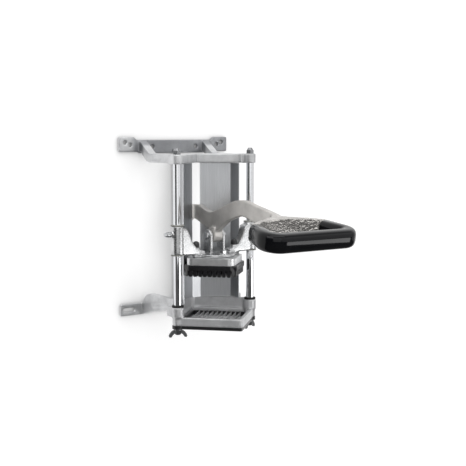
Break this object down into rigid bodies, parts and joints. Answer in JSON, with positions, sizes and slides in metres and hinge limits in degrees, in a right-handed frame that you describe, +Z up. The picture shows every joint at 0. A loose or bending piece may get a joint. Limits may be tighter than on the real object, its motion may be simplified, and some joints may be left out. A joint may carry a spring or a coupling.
{
  "type": "french fry cutter",
  "caption": "Wall-mounted french fry cutter: a long looped lever drives a fingered pusher down two guide rods through a square blade grid in front of a folded guard.",
  "frame": {"origin": "on the wall face, midway between the two centre holes of the upper wall strip", "axes": "+Z up, +Y into the wall, the lever stands out toward -Y, +X to the right as seen from the front"},
  "size_m": [0.21, 0.3881, 0.3121],
  "materials": {
    "cast_aluminium": "cast and linished, satin",
    "machined_aluminium": "satin, linished edges",
    "lever_aluminium": "linished casting, satin",
    "strut_aluminium": "folded sheet, satin",
    "chromed_rod": "polished hard chrome",
    "stainless_sheet": "brushed vertically",
    "blade_steel": "ground stainless strip",
    "zinc_steel": "bright zinc",
    "dark_zinc": "dark zinc plate",
    "chromed_bolt": "bright chrome",
    "black_oxide": "black oxide",
    "black_casting": "black enamel",
    "black_plastic": "moulded, fine texture",
    "gloss_black": "glossy, smooth",
    "black_rubber": "matt",
    "pale_plastic": "turned nylon"
  },
  "bodies": {
    "frame": {"top_casting": "cast_aluminium", "base_casting": "cast_aluminium", "rod_left": "chromed_rod", "rod_right": "chromed_rod", "cap_nuts": "zinc_steel", "rod_bumpers": "black_rubber", "blade_cassette": "black_casting", "blades_upper": "blade_steel", "blades_lower": "blade_steel", "back_guard": "stainless_sheet", "guard_screws": "zinc_steel", "fulcrum_strut": "strut_aluminium", "strut_screws": "zinc_steel"},
    "carriage": {"carriage_casting": "cast_aluminium", "collar_bushes": "pale_plastic", "pusher_plate": "machined_aluminium", "pusher_block": "black_plastic", "plate_bolts": "chromed_bolt", "web_nuts": "black_oxide", "clevis_pin": "zinc_steel", "pin_clip": "zinc_steel"},
    "lever_arm": {"lever": "lever_aluminium", "tail_pin": "zinc_steel", "grip_cover": "gloss_black"},
    "collar_screw": {"thumb_screw": "zinc_steel"},
    "wing_nut_l": {"wing_nut_left": "dark_zinc"},
    "wing_nut_r": {"wing_nut_right": "dark_zinc"}
  },
  "joints": [
    {"name": "carriage_slide", "type": "slide", "parent": "frame", "child": "carriage", "axis": [0, 0, 1], "range_m": [-0.078, 0.06]},
    {"name": "lever_pivot", "type": "hinge", "parent": "carriage", "child": "lever_arm", "pos_m": [0, -0.126, -0.1389], "axis": [1, 0, 0], "range_deg": [-33.7, 43.8]},
    {"name": "collar_screw_turn", "type": "hinge", "parent": "carriage", "child": "collar_screw", "pos_m": [-0.085, -0.126, -0.1339], "axis": [1, 0, 0], "continuous": true},
    {"name": "wing_nut_l_turn", "type": "hinge", "parent": "frame", "child": "wing_nut_l", "pos_m": [-0.069, -0.126, -0.2874], "axis": [0, 0, 1], "continuous": true},
    {"name": "wing_nut_r_turn", "type": "hinge", "parent": "frame", "child": "wing_nut_r", "pos_m": [0.069, -0.126, -0.2874], "axis": [0, 0, 1], "continuous": true}
  ],
  "couplings": [
    {"joint": "lever_pivot", "follows": "carriage_slide", "rad_per_m": -9.8}
  ]
}
